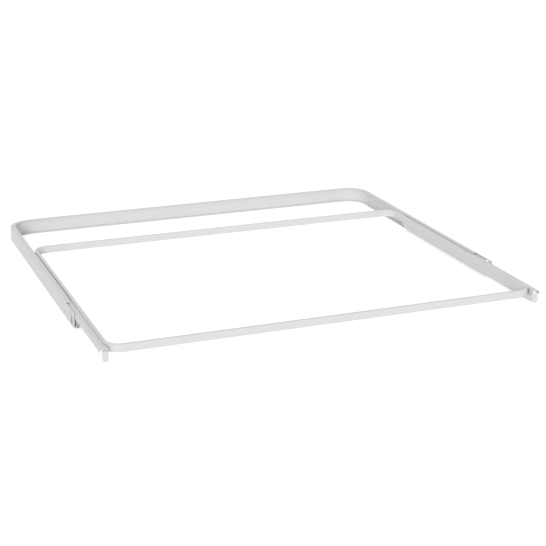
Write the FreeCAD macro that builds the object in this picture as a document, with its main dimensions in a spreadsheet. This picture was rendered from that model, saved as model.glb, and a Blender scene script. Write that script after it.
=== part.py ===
# Pull-out frame for a wardrobe cabinet: a U-shaped channel frame that is screwed between the
# cabinet's sides, and a flat-bar loop on two runners that rolls out of it on nylon rollers.
# Frame of reference: +X to the right, -Y to the front, +Z up. The origin lies at the bottom
# centre of the whole object in the half-open position of its rest pose.

import FreeCAD, Part
import Sketcher
import math
import os

doc = FreeCAD.newDocument("pull_out_frame")

# Driving sizes, in millimetres
DRIVING = [
    ("overall_width", 713.2, "outer frame, side to side"),
    ("frame_depth", 533.0, "outer frame, front to back"),
    ("frame_height", 26.0, "outer frame, bottom to top"),
    ("frame_sheet", 1.2, "sheet of the outer frame"),
    ("flange_width", 9.1, "flanges of the outer frame"),
    ("corner_radius", 43.0, "rear corners of the outer frame"),
    ("frame_bend", 1.8, "outside radius of the outer frame's bends"),
    ("top_flange_setback", 53.0, "from the front end back to the top flange"),
    ("front_corner_radius", 10.0, "lower front corner of the outer frame"),
    ("window_setback", 11.0, "from the front end back to the window"),
    ("window_width", 9.0, "window in the side, behind its front strip"),
    ("window_height", 19.0, "window in the side, behind its front strip"),
    ("window_drop", 2.7, "from the top edge down to the window"),
    ("window_radius", 1.5, "corners of the window"),
    ("hole_radius", 2.5, "screw and peg holes in the sides"),
    ("hole_setback", 28.0, "from the front end back to the first peg hole"),
    ("hole_pitch", 160.0, "between holes along a side"),
    ("row_shift", 32.0, "from a peg hole back to its screw hole"),
    ("peg_drop", 7.6, "from the top edge down to the peg holes"),
    ("screw_drop", 16.0, "from the top edge down to the screw holes"),
    ("pull_out_shown", 152.0, "how far the runners stand out in the rest pose"),
    ("runner_sheet", 1.2, "sheet of the runners"),
    ("runner_length", 469.0, "runner, front to back"),
    ("runner_height", 18.6, "runner, top to bottom"),
    ("lift_gap", 1.2, "between the outer frame's top flange and the runner"),
    ("lip_gap", 0.5, "between the outer frame's side and the runner's lip"),
    ("lip_height", 6.2, "runner's outer lip"),
    ("shoulder_radius", 4.2, "outside radius between runner's top and lip"),
    ("web_bend", 1.3, "outside radius between runner's top and web"),
    ("lip_play", 0.4, "between a front roller and the runner's lip"),
    ("web_play", 1.0, "between a front roller and the runner's web"),
    ("ledge_depth", 4.1, "ledge of the web, inwards under the loop"),
    ("ledge_drop", 0.2, "below the loop's lower edge"),
    ("ledge_bend", 1.0, "outside radius between ledge and lower web"),
    ("flange_gap", 3.0, "from a rear roller forward to the runner's flange"),
    ("ramp_gap", 3.5, "from a rear axle forward to the ramp"),
    ("ramp_length", 5.0, "from the straight rear web to the stepped one"),
    ("tongue_radius", 4.0, "lower rear corner of a runner"),
    ("nose_inset", 2.0, "front end of the web, inwards from its upper part"),
    ("nose_length", 4.0, "front end of the web, flat from top to bottom"),
    ("nose_ramp", 14.0, "from the stepped web forward to its flat front end"),
    ("tab_reach", 5.9, "front tab, outwards from the runner's web"),
    ("tab_slit", 2.7, "between the flange and the front tab"),
    ("tab_overhang", 1.7, "front tab, below the runner"),
    ("tab_slope", 3.0, "width over which its lower edge comes down"),
    ("tab_radius", 4.0, "lower outer corner of the front tab"),
    ("tab_bend", 2.0, "outside radius between web and tab"),
    ("bar_thickness", 5.0, "flat bar of the loop"),
    ("bar_height", 12.0, "flat bar of the loop"),
    ("bar_edge", 0.5, "rounded edges of the flat bar"),
    ("loop_depth", 506.9, "loop, front to back"),
    ("loop_setback", 1.5, "from the runner's front back to the loop"),
    ("loop_radius", 25.0, "outer corners of the loop"),
    ("roller_width", 6.4, "roller"),
    ("roller_edge", 2.0, "bevel of a roller's rim"),
    ("roller_play", 0.3, "between a roller and the track it runs on"),
    ("floor_gap", 0.1, "below a front roller"),
    ("rear_side_play", 1.6, "between a rear roller and the outer frame's side"),
    ("rear_axle_setback", 10.0, "from the runner's rear end forward to its axle"),
    ("front_roller_reach", 4.0, "front roller, ahead of the outer frame's front end"),
    ("notch_gap", 7.0, "from a front axle back to the bottom flange"),
    ("recess_radius", 5.6, "recess of a roller, for the axle's head"),
    ("recess_depth", 1.5, "recess of a roller, for the axle's head"),
    ("groove_depth", 0.5, "ring groove in a roller's faces"),
    ("groove_margin", 3.2, "rim of a roller, outside the groove"),
    ("hub_wall", 0.9, "hub of a roller, inside the groove"),
    ("journal_radius", 2.5, "axle, where the roller turns on it"),
    ("running_fit", 0.05, "between an axle and what it passes through"),
    ("end_play", 0.1, "along an axle, each side of its roller"),
    ("tenon_radius", 2.0, "axle, where it is riveted into the sheet"),
    ("head_radius", 4.8, "axle's head"),
    ("head_thickness", 1.2, "axle's head"),
    ("head_bevel", 0.4, "axle's head"),
    ("spacer_radius", 3.8, "collar between a roller and the sheet"),
]

HOLES_PER_ROW = 3

# Places that follow from them. Those named _x are distances from the middle plane.
DERIVED = [
    ("rear_y", "(frame_depth + pull_out_shown) / 2"),
    ("front_y", "rear_y - frame_depth"),
    ("side_x", "overall_width / 2"),
    ("side_inner_x", "side_x - frame_sheet"),
    ("flange_x", "side_x - flange_width"),
    ("flange_inner_z", "frame_height - frame_sheet"),
    ("top_flange_y", "front_y + top_flange_setback"),
    ("lip_x", "side_inner_x - lip_gap"),
    ("lip_inner_x", "lip_x - runner_sheet"),
    ("front_roller_outer_x", "lip_inner_x - lip_play"),
    ("front_roller_x", "front_roller_outer_x - roller_width"),
    ("web_x", "front_roller_x - web_play"),
    ("web_inner_x", "web_x - runner_sheet"),
    ("runner_top_z", "flange_inner_z - lift_gap"),
    ("runner_under_z", "runner_top_z - runner_sheet"),
    ("runner_bottom_z", "runner_top_z - runner_height"),
    ("lip_bottom_z", "runner_top_z - lip_height"),
    ("roller_radius", "(runner_under_z - roller_play - floor_gap) / 2"),
    ("front_axle_z", "runner_under_z - roller_play - roller_radius"),
    ("rear_axle_z", "frame_sheet + roller_play + roller_radius"),
    ("front_axle_y", "front_y - front_roller_reach + roller_radius"),
    ("bottom_flange_y", "front_axle_y + notch_gap"),
    ("window_y", "front_y + window_setback"),
    ("window_rear_y", "window_y + window_width"),
    ("window_top_z", "frame_height - window_drop"),
    ("window_bottom_z", "window_top_z - window_height"),
    ("peg_z", "frame_height - peg_drop"),
    ("screw_z", "frame_height - screw_drop"),
    ("peg_y", "front_y + hole_setback"),
    ("screw_y", "peg_y + row_shift"),
    ("tab_y", "front_y - pull_out_shown"),
    ("tab_rear_y", "tab_y + runner_sheet"),
    ("runner_rear_y", "tab_y + runner_length"),
    ("rear_axle_y", "runner_rear_y - rear_axle_setback"),
    ("flange_end_y", "rear_axle_y - roller_radius - flange_gap"),
    ("tongue_y", "rear_axle_y - ramp_gap"),
    ("ramp_y", "tongue_y - ramp_length"),
    ("loop_y", "tab_y + loop_setback"),
    ("loop_rear_y", "loop_y + loop_depth"),
    ("loop_bottom_z", "frame_height - bar_height"),
    ("loop_inner_x", "web_inner_x - bar_thickness"),
    ("loop_inner_y", "loop_y + bar_thickness"),
    ("loop_inner_rear_y", "loop_rear_y - bar_thickness"),
    ("low_web_x", "web_x - ledge_depth"),
    ("low_web_inner_x", "web_inner_x - ledge_depth"),
    ("ledge_z", "loop_bottom_z - ledge_drop"),
    ("ledge_under_z", "ledge_z - runner_sheet"),
    ("ledge_soft_x", "low_web_inner_x + ledge_bend"),
    ("ledge_soft_z", "ledge_z - ledge_bend"),
    ("tab_top_z", "runner_under_z - tab_slit"),
    ("tab_bottom_z", "runner_bottom_z - tab_overhang"),
    ("tab_x", "web_x + tab_reach"),
    ("nose_inner_x", "web_inner_x - nose_inset"),
    ("nose_x", "nose_inner_x + runner_sheet"),
    ("nose_y", "tab_y + nose_length"),
    ("nose_ramp_y", "nose_y + nose_ramp"),
    ("tab_foot_x", "nose_inner_x + tab_slope"),
    ("rear_roller_outer_x", "side_inner_x - rear_side_play"),
    ("rear_roller_x", "rear_roller_outer_x - roller_width"),
    ("bore_radius", "journal_radius + running_fit"),
    ("tenon_hole_radius", "tenon_radius + running_fit"),
    ("hub_radius", "recess_radius + hub_wall"),
    ("groove_radius", "roller_radius - groove_margin"),
    ("rim_radius", "roller_radius - roller_edge"),
    ("roller_bevel_far", "roller_width - roller_edge"),
    ("groove_far", "roller_width - groove_depth"),
    ("head_rim_radius", "head_radius - head_bevel"),
    ("head_gap", "recess_depth - end_play - head_thickness"),
    ("front_head_x", "front_roller_x + head_gap"),
    ("front_shoulder", "side_inner_x - front_head_x"),
    ("front_tip", "side_x - front_head_x"),
    ("front_spacer_x", "front_roller_outer_x + end_play"),
    ("front_spacer_length", "side_inner_x - front_spacer_x"),
    ("rear_head_x", "rear_roller_outer_x - head_gap"),
    ("rear_shoulder", "rear_head_x - web_x"),
    ("rear_tip", "rear_head_x - web_inner_x"),
    ("rear_spacer_length", "rear_roller_x - end_play - web_x"),
]

sizes = doc.addObject("Spreadsheet::Sheet", "Sizes")
for row, (alias, value, meaning) in enumerate(DRIVING, start=1):
    sizes.set(f"A{row}", str(value))
    sizes.set(f"B{row}", meaning)
    sizes.setAlias(f"A{row}", alias)
for row, (alias, formula) in enumerate(DERIVED, start=len(DRIVING) + 1):
    sizes.set(f"A{row}", "=" + formula)
    sizes.setAlias(f"A{row}", alias)
doc.recompute()


def size(name):
    """The value of a named size; a leading minus turns its sign."""
    if name == "0":
        return 0.0
    if name.startswith("-"):
        return -sizes.get(name[1:])
    return sizes.get(name)


def cell(name):
    """The expression that ties a property to a named size."""
    if name == "0":
        return "0"
    if name.startswith("-"):
        return "-Sizes." + name[1:]
    return "Sizes." + name


def new_body(name):
    body = doc.addObject("PartDesign::Body", name)
    body.Label = name
    return body


def new_sketch(body, name, plane, offset="0"):
    """A sketch on one of the body's own planes, moved along that plane's normal."""
    sketch = body.newObject("Sketcher::SketchObject", name)
    own = [item for item in body.Origin.OriginFeatures if item.Role == plane]
    sketch.AttachmentSupport = [(own[0], "")]
    sketch.MapMode = "FlatFace"
    sketch.setExpression("AttachmentOffset.Base.z", cell(offset))
    return sketch


def tie_point(sketch, element, point, across, up):
    """Ties a point of the sketch to two named sizes."""
    for kind, name in (("DistanceX", across), ("DistanceY", up)):
        index = sketch.addConstraint(Sketcher.Constraint(kind, -1, 1, element, point, size(name)))
        sketch.setExpression(f"Constraints[{index}]", cell(name))


def tie_radius(sketch, element, radius):
    index = sketch.addConstraint(Sketcher.Constraint("Radius", element, size(radius)))
    sketch.setExpression(f"Constraints[{index}]", cell(radius))


def draw_polygon(sketch, corners):
    """A closed outline through corners, each one a pair of named sizes."""
    points = [FreeCAD.Vector(size(across), size(up), 0) for across, up in corners]
    lines = []
    for start, end in zip(points, points[1:] + points[:1]):
        lines.append(sketch.addGeometry(Part.LineSegment(start, end), False))
    for line, following in zip(lines, lines[1:] + lines[:1]):
        sketch.addConstraint(Sketcher.Constraint("Coincident", line, 2, following, 1))
    for line, (across, up) in zip(lines, corners):
        tie_point(sketch, line, 1, across, up)


def draw_circle(sketch, across, up, radius):
    centre = FreeCAD.Vector(size(across), size(up), 0)
    circle = sketch.addGeometry(Part.Circle(centre, FreeCAD.Vector(0, 0, 1), size(radius)), False)
    tie_point(sketch, circle, 3, across, up)
    tie_radius(sketch, circle, radius)


def draw_rounded_corner(sketch, across, up, radius):
    """The waste outside a corner whose two edges meet at a place and run across and up from it."""
    corner = FreeCAD.Vector(size(across), size(up), 0)
    reach = size(radius)
    low = corner + FreeCAD.Vector(reach, 0, 0)
    high = corner + FreeCAD.Vector(0, reach, 0)
    centre = corner + FreeCAD.Vector(reach, reach, 0)
    bottom = sketch.addGeometry(Part.LineSegment(corner, low), False)
    side = sketch.addGeometry(Part.LineSegment(high, corner), False)
    circle = Part.Circle(centre, FreeCAD.Vector(0, 0, 1), reach)
    arc = sketch.addGeometry(Part.ArcOfCircle(circle, math.pi, 1.5 * math.pi), False)
    sketch.addConstraint(Sketcher.Constraint("Coincident", side, 2, bottom, 1))
    sketch.addConstraint(Sketcher.Constraint("Tangent", arc, 1, side, 1))
    sketch.addConstraint(Sketcher.Constraint("Tangent", arc, 2, bottom, 2))
    sketch.addConstraint(Sketcher.Constraint("Horizontal", bottom))
    sketch.addConstraint(Sketcher.Constraint("Vertical", side))
    tie_point(sketch, bottom, 1, across, up)
    tie_radius(sketch, arc, radius)


def pad(body, sketch, name, length):
    feature = body.newObject("PartDesign::Pad", name)
    feature.Profile = sketch
    feature.setExpression("Length", length)
    doc.recompute()
    return feature


def pocket(body, sketch, name, length=None, reversed_cut=False):
    """Cuts the sketch to a length, or right through both ways where none is given."""
    before = body.Shape.Volume
    feature = body.newObject("PartDesign::Pocket", name)
    feature.Profile = sketch
    feature.Reversed = reversed_cut
    if length is None:
        feature.Type = "ThroughAll"
        feature.Midplane = True
    else:
        feature.setExpression("Length", length)
    doc.recompute()
    if feature.Shape.Volume >= before:
        raise RuntimeError(name + " cuts nothing")
    return feature


def fillet(body, base, name, radius, test):
    """Rounds the edges of a feature whose ends and middle all pass a test of x, y and z."""
    chosen = []
    for number, edge in enumerate(base.Shape.Edges, start=1):
        middle = edge.valueAt((edge.FirstParameter + edge.LastParameter) / 2)
        points = [vertex.Point for vertex in edge.Vertexes] + [middle]
        if all(test(point.x, point.y, point.z) for point in points):
            chosen.append(f"Edge{number}")
    if not chosen:
        raise RuntimeError(name + " finds no edge")
    feature = body.newObject("PartDesign::Fillet", name)
    feature.Base = (base, chosen)
    feature.setExpression("Radius", radius)
    doc.recompute()
    if "Invalid" in feature.State or feature.Shape.isNull():
        raise RuntimeError(name + " cannot be rounded")
    return feature


def near(value, name):
    """Whether a measured value meets a named size."""
    return abs(value - size(name)) < 0.001


def mirrored(source, name):
    """The same piece on the other side of the middle plane."""
    mirror = doc.addObject("Part::Mirroring", name)
    mirror.Source = source
    mirror.Normal = FreeCAD.Vector(1, 0, 0)
    mirror.Label = name
    return mirror


def frame_path(body):
    """The outer frame's run: back along the left side, across the rear and forward on the right."""
    path = new_sketch(body, "frame_path", "XY_Plane")
    side, rear, front = size("side_x"), size("rear_y"), size("front_y")
    radius = size("corner_radius")
    bend_x, bend_y = side - radius, rear - radius
    up = FreeCAD.Vector(0, 0, 1)

    def line(start, end):
        segment = Part.LineSegment(FreeCAD.Vector(*start, 0), FreeCAD.Vector(*end, 0))
        return path.addGeometry(segment, False)

    def corner(x, first_angle):
        circle = Part.Circle(FreeCAD.Vector(x, bend_y, 0), up, radius)
        quarter = Part.ArcOfCircle(circle, first_angle, first_angle + math.pi / 2)
        return path.addGeometry(quarter, False)

    left = line((-side, front), (-side, bend_y))
    left_corner = corner(-bend_x, math.pi / 2)
    back = line((-bend_x, rear), (bend_x, rear))
    right_corner = corner(bend_x, 0)
    right = line((side, bend_y), (side, front))
    path.addConstraint(Sketcher.Constraint("Tangent", left, 2, left_corner, 2))
    path.addConstraint(Sketcher.Constraint("Tangent", left_corner, 1, back, 1))
    path.addConstraint(Sketcher.Constraint("Tangent", back, 2, right_corner, 2))
    path.addConstraint(Sketcher.Constraint("Tangent", right_corner, 1, right, 1))
    path.addConstraint(Sketcher.Constraint("Vertical", left))
    path.addConstraint(Sketcher.Constraint("Vertical", right))
    tie_point(path, left, 1, "-side_x", "front_y")
    tie_point(path, right, 2, "side_x", "front_y")
    for arc in (left_corner, right_corner):
        tie_radius(path, arc, "corner_radius")
    across = path.addConstraint(Sketcher.Constraint("DistanceY", -1, 1, back, 1, rear))
    path.setExpression(f"Constraints[{across}]", cell("rear_y"))
    return path


def wall_depth(x, y):
    """How far a point lies inside the outer frame's outer wall, seen from above."""
    across = abs(x) - size("side_x") + size("corner_radius")
    along = y - size("rear_y") + size("corner_radius")
    if across > 0 and along > 0:
        return size("corner_radius") - math.hypot(across, along)
    return min(size("side_x") - abs(x), size("rear_y") - y)


def outer_frame():
    """The C channel bent into a U, open to the inside, with its holes and its two windows."""
    body = new_body("outer_frame")
    path = frame_path(body)
    section = new_sketch(body, "frame_section", "XZ_Plane", "-front_y")
    draw_polygon(section, [
        ("-side_x", "0"),
        ("-flange_x", "0"),
        ("-flange_x", "frame_sheet"),
        ("-side_inner_x", "frame_sheet"),
        ("-side_inner_x", "flange_inner_z"),
        ("-flange_x", "flange_inner_z"),
        ("-flange_x", "frame_height"),
        ("-side_x", "frame_height"),
    ])
    channel = body.newObject("PartDesign::AdditivePipe", "frame_channel")
    channel.Profile = section
    channel.Spine = (path, [f"Edge{number + 1}" for number in range(path.GeometryCount)])
    doc.recompute()

    outer = fillet(
        body, channel, "frame_outer_bends", "Sizes.frame_bend",
        lambda x, y, z: (
            (near(z, "0") or near(z, "frame_height")) and near(wall_depth(x, y), "0")
        ),
    )
    fillet(
        body, outer, "frame_inner_bends", "Sizes.frame_bend - Sizes.frame_sheet",
        lambda x, y, z: (
            (near(z, "frame_sheet") or near(z, "flange_inner_z"))
            and near(wall_depth(x, y), "frame_sheet")
        ),
    )

    # The flanges stop short of the front end, where the runners and the front rollers pass
    for name, end, plane_z, upwards in (
        ("top_flange_end", "top_flange_y", "frame_height", False),
        ("bottom_flange_end", "bottom_flange_y", "0", True),
    ):
        cut = new_sketch(body, name + "_outline", "XY_Plane", plane_z)
        draw_polygon(cut, [
            ("-side_inner_x", "front_y"),
            ("side_inner_x", "front_y"),
            ("side_inner_x", end),
            ("-side_inner_x", end),
        ])
        pocket(body, cut, name, "Sizes.frame_bend", upwards)

    # The lower front corner of each side is rounded off
    corner = new_sketch(body, "front_corner_outline", "YZ_Plane")
    draw_rounded_corner(corner, "front_y", "0", "front_corner_radius")
    pocket(body, corner, "front_corner")

    window = new_sketch(body, "window_outline", "YZ_Plane")
    draw_polygon(window, [
        ("window_y", "window_bottom_z"),
        ("window_rear_y", "window_bottom_z"),
        ("window_rear_y", "window_top_z"),
        ("window_y", "window_top_z"),
    ])
    windows = pocket(body, window, "windows")
    fillet(
        body, windows, "window_corners", "Sizes.window_radius",
        lambda x, y, z: (
            (near(y, "window_y") or near(y, "window_rear_y"))
            and (near(z, "window_bottom_z") or near(z, "window_top_z"))
        ),
    )

    axle_hole = new_sketch(body, "front_axle_hole_outline", "YZ_Plane")
    draw_circle(axle_hole, "front_axle_y", "front_axle_z", "tenon_hole_radius")
    pocket(body, axle_hole, "front_axle_holes")

    holes = new_sketch(body, "hole_outline", "YZ_Plane")
    draw_circle(holes, "peg_y", "peg_z", "hole_radius")
    draw_circle(holes, "screw_y", "screw_z", "hole_radius")
    first_holes = pocket(body, holes, "first_holes")
    rows = body.newObject("PartDesign::LinearPattern", "hole_rows")
    rows.Originals = [first_holes]
    rows.Direction = (holes, ["H_Axis"])
    rows.Occurrences = HOLES_PER_ROW
    rows.setExpression("Length", f"Sizes.hole_pitch * {HOLES_PER_ROW - 1}")
    body.Tip = rows
    doc.recompute()
    return body


def runner():
    """The right runner: web and ledge beside and under the loop, flange, outer lip and tab."""
    body = new_body("runner_right")

    flange = new_sketch(body, "flange_section", "XZ_Plane", "-flange_end_y")
    draw_polygon(flange, [
        ("web_x", "runner_under_z"),
        ("lip_inner_x", "runner_under_z"),
        ("lip_inner_x", "lip_bottom_z"),
        ("lip_x", "lip_bottom_z"),
        ("lip_x", "runner_top_z"),
        ("web_x", "runner_top_z"),
    ])
    top = pad(body, flange, "flange", "Sizes.flange_end_y - Sizes.tab_y")
    shoulder = fillet(
        body, top, "shoulder_outside", "Sizes.shoulder_radius",
        lambda x, y, z: near(x, "lip_x") and near(z, "runner_top_z"),
    )
    fillet(
        body, shoulder, "shoulder_inside", "Sizes.shoulder_radius - Sizes.runner_sheet",
        lambda x, y, z: near(x, "lip_inner_x") and near(z, "runner_under_z"),
    )
    web = new_sketch(body, "web_section", "XZ_Plane", "-flange_end_y")
    draw_polygon(web, [
        ("low_web_inner_x", "runner_bottom_z"),
        ("low_web_x", "runner_bottom_z"),
        ("low_web_x", "ledge_under_z"),
        ("web_x", "ledge_under_z"),
        ("web_x", "runner_top_z"),
        ("web_inner_x", "runner_top_z"),
        ("web_inner_x", "ledge_z"),
        ("low_web_inner_x", "ledge_z"),
    ])
    profile = pad(body, web, "web", "Sizes.flange_end_y - Sizes.nose_ramp_y")
    top_bend = fillet(
        body, profile, "web_bend", "Sizes.web_bend",
        lambda x, y, z: near(x, "web_inner_x") and near(z, "runner_top_z"),
    )
    fillet(
        body, top_bend, "ledge_bend", "Sizes.ledge_bend",
        lambda x, y, z: near(x, "low_web_inner_x") and near(z, "ledge_z"),
    )

    # Behind the flange the stepped web goes on to the ramp
    stepped = new_sketch(body, "stepped_web_section", "XZ_Plane", "-ramp_y")
    draw_polygon(stepped, [
        ("low_web_inner_x", "runner_bottom_z"),
        ("low_web_x", "runner_bottom_z"),
        ("low_web_x", "ledge_under_z"),
        ("web_x", "ledge_under_z"),
        ("web_x", "runner_top_z"),
        ("web_inner_x", "runner_top_z"),
        ("web_inner_x", "ledge_z"),
        ("ledge_soft_x", "ledge_z"),
        ("low_web_inner_x", "ledge_soft_z"),
    ])
    pad(body, stepped, "stepped_web", "Sizes.ramp_y - Sizes.flange_end_y")

    # On the ramp the lower web comes back out, and the ledge narrows with it
    upper = new_sketch(body, "upper_web_section", "XZ_Plane", "-runner_rear_y")
    draw_polygon(upper, [
        ("web_inner_x", "ledge_under_z"),
        ("web_x", "ledge_under_z"),
        ("web_x", "runner_top_z"),
        ("web_inner_x", "runner_top_z"),
    ])
    pad(body, upper, "upper_web", "Sizes.runner_rear_y - Sizes.ramp_y")
    ramp = new_sketch(body, "ramp_outline", "XY_Plane", "runner_bottom_z")
    draw_polygon(ramp, [
        ("web_inner_x", "tongue_y"),
        ("web_x", "tongue_y"),
        ("low_web_x", "ramp_y"),
        ("low_web_inner_x", "ramp_y"),
    ])
    pad(body, ramp, "ramp", "Sizes.ledge_soft_z - Sizes.runner_bottom_z")
    ledge = new_sketch(body, "ramp_ledge_outline", "XY_Plane", "ledge_under_z")
    draw_polygon(ledge, [
        ("web_x", "tongue_y"),
        ("web_inner_x", "tongue_y"),
        ("ledge_soft_x", "ramp_y"),
        ("web_x", "ramp_y"),
    ])
    pad(body, ledge, "ramp_ledge", "Sizes.runner_sheet")

    # The straight rear end carries the rear axle
    tongue = new_sketch(body, "tongue_section", "XZ_Plane", "-runner_rear_y")
    draw_polygon(tongue, [
        ("web_inner_x", "runner_bottom_z"),
        ("web_x", "runner_bottom_z"),
        ("web_x", "ledge_under_z"),
        ("web_inner_x", "ledge_under_z"),
    ])
    straight = pad(body, tongue, "tongue", "Sizes.runner_rear_y - Sizes.tongue_y")
    fillet(
        body, straight, "tongue_corner", "Sizes.tongue_radius",
        lambda x, y, z: near(y, "runner_rear_y") and near(z, "runner_bottom_z"),
    )

    # Behind the loop's rounded corner both halves of the web run into one flat front end
    for name, inner, outer, low, high in (
        ("lower_nose", "low_web_inner_x", "low_web_x", "runner_bottom_z", "ledge_soft_z"),
        ("upper_nose", "web_inner_x", "web_x", "ledge_under_z", "runner_top_z"),
    ):
        half = new_sketch(body, name + "_outline", "XY_Plane", low)
        draw_polygon(half, [
            (inner, "nose_ramp_y"),
            (outer, "nose_ramp_y"),
            ("nose_x", "nose_y"),
            ("nose_x", "tab_y"),
            ("nose_inner_x", "tab_y"),
            ("nose_inner_x", "nose_y"),
        ])
        pad(body, half, name, f"Sizes.{high} - Sizes.{low}")
    nose_ledge = new_sketch(body, "nose_ledge_outline", "XY_Plane", "ledge_under_z")
    draw_polygon(nose_ledge, [
        ("web_x", "nose_ramp_y"),
        ("ledge_soft_x", "nose_ramp_y"),
        ("nose_inner_x", "nose_y"),
        ("nose_x", "nose_y"),
    ])
    pad(body, nose_ledge, "nose_ledge", "Sizes.runner_sheet")
    nose_flange = new_sketch(body, "nose_flange_outline", "XY_Plane", "runner_under_z")
    draw_polygon(nose_flange, [
        ("web_x", "nose_ramp_y"),
        ("web_x", "tab_y"),
        ("nose_x", "tab_y"),
        ("nose_x", "nose_y"),
    ])
    pad(body, nose_flange, "nose_flange", "Sizes.runner_sheet")

    tab = new_sketch(body, "tab_outline", "XZ_Plane", "-tab_rear_y")
    draw_polygon(tab, [
        ("nose_inner_x", "runner_bottom_z"),
        ("tab_foot_x", "tab_bottom_z"),
        ("tab_x", "tab_bottom_z"),
        ("tab_x", "tab_top_z"),
        ("nose_inner_x", "tab_top_z"),
    ])
    front_tab = pad(body, tab, "front_tab", "Sizes.runner_sheet")
    fillet(
        body, front_tab, "tab_corner", "Sizes.tab_radius",
        lambda x, y, z: near(x, "tab_x") and near(z, "tab_bottom_z"),
    )
    bend = new_sketch(body, "tab_bend_outline", "XY_Plane", "tab_top_z")
    draw_rounded_corner(bend, "nose_inner_x", "tab_y", "tab_bend")
    pocket(body, bend, "tab_bend", "Sizes.tab_top_z - Sizes.tab_bottom_z")

    axle_hole = new_sketch(body, "rear_axle_hole_outline", "YZ_Plane")
    draw_circle(axle_hole, "rear_axle_y", "rear_axle_z", "tenon_hole_radius")
    pocket(body, axle_hole, "rear_axle_hole")
    return body


def basket_loop():
    """The flat bar that is bent and welded into a closed rounded rectangle."""
    body = new_body("basket_loop")
    outline = new_sketch(body, "loop_outline", "XY_Plane", "loop_bottom_z")
    draw_polygon(outline, [
        ("-web_inner_x", "loop_y"),
        ("web_inner_x", "loop_y"),
        ("web_inner_x", "loop_rear_y"),
        ("-web_inner_x", "loop_rear_y"),
    ])
    pad(body, outline, "loop_slab", "Sizes.bar_height")
    inside = new_sketch(body, "loop_opening_outline", "XY_Plane", "loop_bottom_z")
    draw_polygon(inside, [
        ("-loop_inner_x", "loop_inner_y"),
        ("loop_inner_x", "loop_inner_y"),
        ("loop_inner_x", "loop_inner_rear_y"),
        ("-loop_inner_x", "loop_inner_rear_y"),
    ])
    opening = pocket(body, inside, "loop_opening", "Sizes.bar_height", True)
    inner_corners = fillet(
        body, opening, "loop_inner_corners", "Sizes.loop_radius - Sizes.bar_thickness",
        lambda x, y, z: (
            near(abs(x), "loop_inner_x")
            and (near(y, "loop_inner_y") or near(y, "loop_inner_rear_y"))
        ),
    )
    outer_corners = fillet(
        body, inner_corners, "loop_outer_corners", "Sizes.loop_radius",
        lambda x, y, z: (
            near(abs(x), "web_inner_x") and (near(y, "loop_y") or near(y, "loop_rear_y"))
        ),
    )
    fillet(
        body, outer_corners, "bar_edges", "Sizes.bar_edge",
        lambda x, y, z: near(z, "frame_height") or near(z, "loop_bottom_z"),
    )
    return body


def turned(name, x, y, z, profile, facing_in=False):
    """A round piece on an axis along X: its profile holds places along the axis and radii."""
    body = new_body(name)
    sketch = new_sketch(body, name + "_profile", "XY_Plane")
    draw_polygon(sketch, profile)
    solid = body.newObject("PartDesign::Revolution", name + "_turning")
    solid.Profile = sketch
    solid.ReferenceAxis = (sketch, ["H_Axis"])
    solid.Angle = 360
    if facing_in:
        body.Placement.Rotation = FreeCAD.Rotation(FreeCAD.Vector(0, 0, 1), 180)
    body.setExpression("Placement.Base.x", cell(x))
    body.setExpression("Placement.Base.y", cell(y))
    body.setExpression("Placement.Base.z", cell(z))
    doc.recompute()
    return body


# A nylon roller, recessed on one face for the axle's head, with a ring groove in both faces
ROLLER = [
    ("recess_depth", "bore_radius"),
    ("recess_depth", "recess_radius"),
    ("0", "recess_radius"),
    ("0", "hub_radius"),
    ("groove_depth", "hub_radius"),
    ("groove_depth", "groove_radius"),
    ("0", "groove_radius"),
    ("0", "rim_radius"),
    ("roller_edge", "roller_radius"),
    ("roller_bevel_far", "roller_radius"),
    ("roller_width", "rim_radius"),
    ("roller_width", "groove_radius"),
    ("groove_far", "groove_radius"),
    ("groove_far", "hub_radius"),
    ("roller_width", "hub_radius"),
    ("roller_width", "bore_radius"),
]


def axle_profile(shoulder, tip):
    """Head in the roller's recess, journal as far as the sheet, and a tenon riveted flush in it."""
    return [
        ("0", "0"),
        ("0", "head_rim_radius"),
        ("head_bevel", "head_radius"),
        ("head_thickness", "head_radius"),
        ("head_thickness", "journal_radius"),
        (shoulder, "journal_radius"),
        (shoulder, "tenon_radius"),
        (tip, "tenon_radius"),
        (tip, "0"),
    ]


def spacer_profile(length):
    """The collar between a roller and the sheet that carries it."""
    return [
        ("0", "bore_radius"),
        ("0", "spacer_radius"),
        (length, "spacer_radius"),
        (length, "bore_radius"),
    ]


nodes = [outer_frame(), basket_loop()]
FRONT = ("front_axle_y", "front_axle_z")
REAR = ("rear_axle_y", "rear_axle_z")
front_axle = axle_profile("front_shoulder", "front_tip")
rear_axle = axle_profile("rear_shoulder", "rear_tip")
right_pieces = [
    runner(),
    turned("front_roller_right", "front_roller_x", *FRONT, ROLLER),
    turned("front_axle_right", "front_head_x", *FRONT, front_axle),
    turned("front_spacer_right", "front_spacer_x", *FRONT, spacer_profile("front_spacer_length")),
    turned("rear_roller_right", "rear_roller_outer_x", *REAR, ROLLER, facing_in=True),
    turned("rear_axle_right", "rear_head_x", *REAR, rear_axle, facing_in=True),
    turned("rear_spacer_right", "web_x", *REAR, spacer_profile("rear_spacer_length")),
]
for piece in right_pieces:
    nodes.append(piece)
    nodes.append(mirrored(piece, piece.Label.replace("_right", "_left")))

doc.recompute()
for item in doc.Objects:
    if "Invalid" in item.State or "Error" in item.State:
        raise RuntimeError(f"{item.Label} failed: {item.State}")
for node in nodes:
    if node.Shape.isNull() or not node.Shape.isValid():
        raise RuntimeError(f"{node.Label} has no sound shape")
    if len(node.Shape.Solids) != 1:
        raise RuntimeError(f"{node.Label} is not one solid")

os.makedirs("parts", exist_ok=True)
for node in nodes:
    node.Shape.exportStep(f"parts/{node.Label}.step")
    print(f"{node.Label}: {node.Shape.Volume:.1f} mm3")
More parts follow.
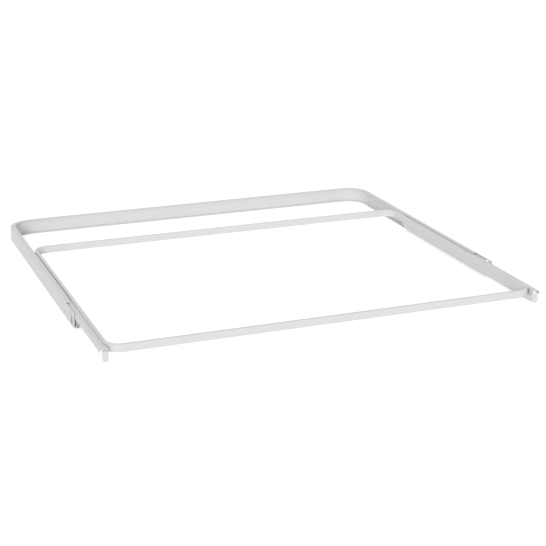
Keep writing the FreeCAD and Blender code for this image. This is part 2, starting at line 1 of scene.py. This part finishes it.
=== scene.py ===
# A pull-out frame for a wardrobe cabinet: a U-shaped channel frame of sheet steel, and a
# flat-bar loop on two roll-formed runners that rolls out of it on four nylon rollers.
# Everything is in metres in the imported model's frame: +X right, -Y to the front, +Z up.

import bpy
import math
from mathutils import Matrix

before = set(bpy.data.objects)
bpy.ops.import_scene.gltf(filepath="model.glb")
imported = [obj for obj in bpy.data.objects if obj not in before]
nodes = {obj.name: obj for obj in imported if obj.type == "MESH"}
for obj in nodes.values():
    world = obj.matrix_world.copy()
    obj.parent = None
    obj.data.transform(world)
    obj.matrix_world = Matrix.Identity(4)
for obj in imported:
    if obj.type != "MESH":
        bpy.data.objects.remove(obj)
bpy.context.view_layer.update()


# The outer frame is a channel of 1.2 mm sheet steel, bent into a U and open to the inside. It
# is powder-coated in a light grey that is nearly white, as are the loop and the runners, with
# the fine orange peel of such a coat.

class Socket:
    """A node's output that can be added and multiplied."""

    def __init__(self, shader, output):
        self.shader = shader
        self.output = output

    def combined(self, operation, first, second):
        settings = {"operation": operation}
        return self.shader.node("ShaderNodeMath", settings, {0: first, 1: second})

    def __add__(self, other):
        return self.combined("ADD", self, other)

    def __mul__(self, other):
        return self.combined("MULTIPLY", self, other)

    __radd__ = __add__


class Shader:
    """The nodes of a material or of the world."""

    def __init__(self, owner, surface="Principled BSDF"):
        owner.use_nodes = True
        self.material = owner
        self.tree = owner.node_tree
        self.surface = self.tree.nodes[surface]
        self.place = self.node("ShaderNodeTexCoord", output="Object")

    def node(self, kind, settings=None, inputs=None, output=0):
        made = self.tree.nodes.new(kind)
        for name, value in (settings or {}).items():
            setattr(made, name, value)
        for name, value in (inputs or {}).items():
            if isinstance(value, Socket):
                self.tree.links.new(value.output, made.inputs[name])
            else:
                made.inputs[name].default_value = value
        return Socket(self, made.outputs[output])

    def seen(self, directly, mirrored):
        """What the background adds for the camera and in reflections, and never as light."""
        camera = self.node("ShaderNodeLightPath", output="Is Camera Ray")
        gloss = self.node("ShaderNodeLightPath", output="Is Glossy Ray")
        glass = self.node("ShaderNodeLightPath", output="Is Transmission Ray")
        return camera * directly + (gloss + glass) * mirrored

    def noise(self, scale, detail=2.0):
        inputs = {"Vector": self.place, "Scale": scale, "Detail": detail}
        return self.node("ShaderNodeTexNoise", {}, inputs)

    def mixed(self, factor, first, second):
        """A colour between two others."""
        colours = {"Factor": factor, 6: first, 7: second}
        return self.node("ShaderNodeMix", {"data_type": "RGBA"}, colours, 2)

    def bump(self, strength, distance, height):
        relief = {"Strength": strength, "Distance": distance, "Height": height}
        return self.node("ShaderNodeBump", {}, relief)

    def set(self, **values):
        """Sets the surface's sockets; an underscore in a name stands for a space."""
        for name, value in values.items():
            socket = self.surface.inputs[name.replace("_", " ")]
            if isinstance(value, Socket):
                self.tree.links.new(value.output, socket)
            else:
                socket.default_value = value


def dress(names, material):
    """Gives the named CAD nodes one material."""
    for name in names:
        data = nodes[name].data
        data.materials.clear()
        data.materials.append(material)


def at_each_end(piece):
    """The piece's four nodes: front and rear, left and right."""
    return [f"{place}_{piece}_{side}" for place in ("front", "rear") for side in ("left", "right")]


COAT_LIGHT = (0.794, 0.800, 0.792, 1.0)
COAT_DARK = (0.759, 0.767, 0.767, 1.0)
COAT_ROUGHNESS = 0.36
COAT_UNEVENNESS = 0.08
CLOUD_SCALE = 9.0
PEEL_SCALE = 900.0
PEEL_STRENGTH = 0.25
PEEL_HEIGHT = 0.00002

coat = Shader(bpy.data.materials.new("powder_coat"))
cloud = coat.noise(CLOUD_SCALE, 3.0)
coat.set(
    Base_Color=coat.mixed(cloud, COAT_DARK, COAT_LIGHT),
    Roughness=COAT_ROUGHNESS + cloud * COAT_UNEVENNESS,
    Normal=coat.bump(PEEL_STRENGTH, PEEL_HEIGHT, coat.noise(PEEL_SCALE)),
)
dress(["outer_frame", "basket_loop", "runner_left", "runner_right"], coat.material)


# The rollers are turned from grey nylon. The front pair sits on the outer frame's front ends
# and carries the runners; the rear pair sits on the runners and rolls in the channel.

NYLON_LIGHT = (0.510, 0.510, 0.515, 1.0)
NYLON_DARK = (0.440, 0.440, 0.450, 1.0)
NYLON_ROUGHNESS = 0.5
SPECKLE_SCALE = 400.0
GRAIN_STRENGTH = 0.2
GRAIN_HEIGHT = 0.00003

nylon = Shader(bpy.data.materials.new("roller_nylon"))
speckle = nylon.noise(SPECKLE_SCALE)
nylon.set(
    Base_Color=nylon.mixed(speckle, NYLON_DARK, NYLON_LIGHT),
    Roughness=NYLON_ROUGHNESS,
    Normal=nylon.bump(GRAIN_STRENGTH, GRAIN_HEIGHT, speckle),
)
dress(at_each_end("roller"), nylon.material)


# The axles are stepped steel rivets, headed in the roller's recess, and the spacers are plain
# steel collars. Both are zinc plated.

ZINC_COLOUR = (0.60, 0.61, 0.62, 1.0)
ZINC_ROUGHNESS = 0.30
ZINC_UNEVENNESS = 0.15
STREAK_SCALE = 260.0

zinc = Shader(bpy.data.materials.new("zinc_plate"))
streak = zinc.noise(STREAK_SCALE)
zinc.set(
    Base_Color=ZINC_COLOUR, Metallic=1.0, Roughness=ZINC_ROUGHNESS + streak * ZINC_UNEVENNESS,
)
dress(at_each_end("axle") + at_each_end("spacer"), zinc.material)


# The studio: a white floor under the object, a white surround and one soft lamp in front. The
# camera sees floor and surround as plain white, and the floor still takes the object's shadow.

FLOOR_DROP = 0.0005
FLOOR_REACH = 12.0
FLOOR_COLOUR = (0.92, 0.92, 0.92, 1.0)
FLOOR_ROUGHNESS = 0.9
FLOOR_GLOW = 0.50
FLOOR_MIRRORED = 0.22
SKY_LIGHT = 0.62
LAMP_STRENGTH = 1.15
LAMP_SPREAD = 14.0
LAMP_ABOVE = 17.0
LAMP_ASIDE = 25.0

floor_white = Shader(bpy.data.materials.new("floor_white"))
floor_white.set(
    Base_Color=FLOOR_COLOUR, Roughness=FLOOR_ROUGHNESS,
    Emission_Color=floor_white.seen(FLOOR_GLOW, FLOOR_MIRRORED), Emission_Strength=1.0,
)
floor_data = bpy.data.meshes.new("studio_floor")
edges = ((-1, -1), (1, -1), (1, 1), (-1, 1))
corners = [(FLOOR_REACH * x, FLOOR_REACH * y, 0) for x, y in edges]
floor_data.from_pydata(corners, [], [(0, 1, 2, 3)])
floor_data.materials.append(floor_white.material)
floor = bpy.data.objects.new("studio_floor", floor_data)
floor.location.z = -FLOOR_DROP
bpy.context.scene.collection.objects.link(floor)

bpy.context.scene.world = bpy.data.worlds.new("studio")
surround = Shader(bpy.context.scene.world, "Background")
unlit = 1.0 - SKY_LIGHT
surround.set(Color=(1.0, 1.0, 1.0, 1.0), Strength=SKY_LIGHT + surround.seen(unlit, unlit))

lamp_data = bpy.data.lights.new("front_lamp", "SUN")
lamp_data.energy = LAMP_STRENGTH
lamp_data.angle = math.radians(LAMP_SPREAD)
lamp = bpy.data.objects.new("front_lamp", lamp_data)
lamp.rotation_euler = (math.radians(90 - LAMP_ABOVE), 0, math.radians(-LAMP_ASIDE))
bpy.context.scene.collection.objects.link(lamp)


# The camera stands where the photograph's did: in front, to the left and above.

FRAME_PX = 546
FOCAL_PX = 1373.2
AXIS_OFF_PX = 0.5
SENSOR_WIDTH = 36.0
CAMERA_PLACE = (-0.7739, -2.0986, 0.7247)
CAMERA_DOWN = 18.235
CAMERA_ASIDE = 21.143

camera_data = bpy.data.cameras.new("camera")
camera_data.sensor_width = SENSOR_WIDTH
camera_data.lens = SENSOR_WIDTH * FOCAL_PX / FRAME_PX
camera_data.shift_x = -AXIS_OFF_PX / FRAME_PX
camera_data.shift_y = AXIS_OFF_PX / FRAME_PX
camera = bpy.data.objects.new("camera", camera_data)
camera.location = CAMERA_PLACE
camera.rotation_euler = (math.radians(90 - CAMERA_DOWN), 0, math.radians(-CAMERA_ASIDE))
bpy.context.scene.collection.objects.link(camera)
bpy.context.scene.camera = camera
bpy.context.scene.view_settings.view_transform = "Standard"
